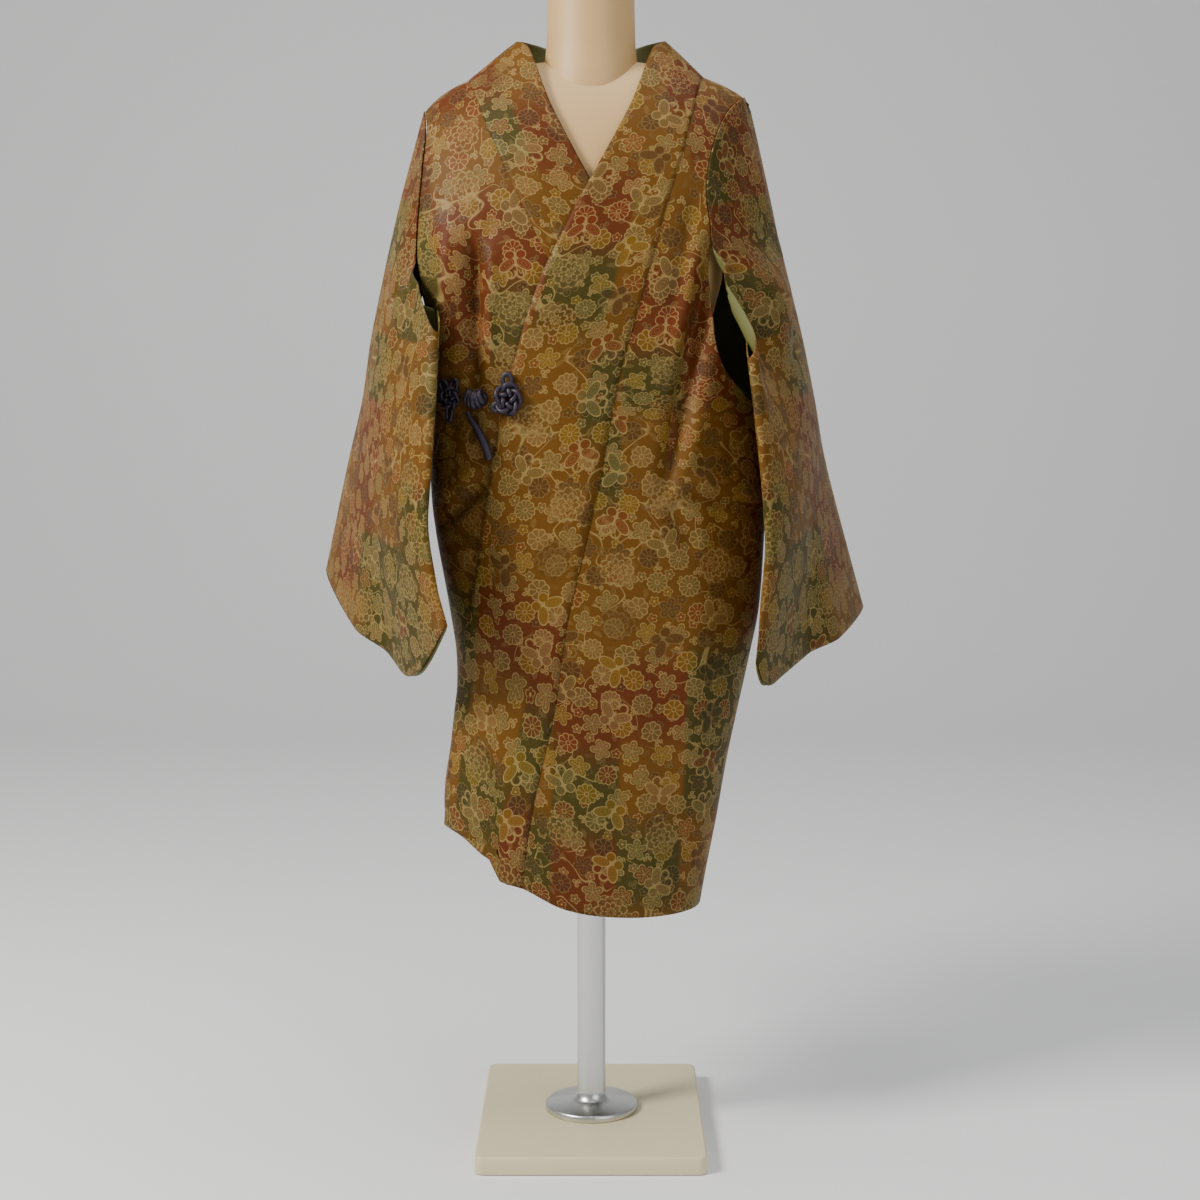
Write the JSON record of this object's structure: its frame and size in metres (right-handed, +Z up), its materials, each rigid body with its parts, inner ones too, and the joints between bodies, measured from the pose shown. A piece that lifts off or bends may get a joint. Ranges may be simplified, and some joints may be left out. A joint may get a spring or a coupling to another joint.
{
  "type": "kimono coat on a limbless dress form",
  "caption": "Wrap-over kimono coat in lined patterned silk with knotted cord fastening, standing hollow on a limbless dress form with a pole and base plate.",
  "frame": {"origin": "middle of the base plate's underside, on the floor", "axes": "+Z up, the coat's front faces -Y, +X is the wearer's left"},
  "size_m": [0.6345, 0.3375, 1.3],
  "materials": {
    "coat_silk": "satin patterned silk",
    "tie_cord": "braided silk cord",
    "form_cover": "smooth satin shell",
    "pole_metal": "satin",
    "plate_paint": "cream paint, lightly scuffed"
  },
  "bodies": {
    "root": {"body_left": "coat_silk", "body_right": "coat_silk", "collar": "coat_silk", "sleeve_left": "coat_silk", "sleeve_right": "coat_silk", "knot_left": "tie_cord", "knot_right": "tie_cord", "knot_button": "tie_cord", "tie_loop": "tie_cord", "form_torso": "form_cover", "pole": "pole_metal", "base_plate": "plate_paint"}
  },
  "joints": []
}
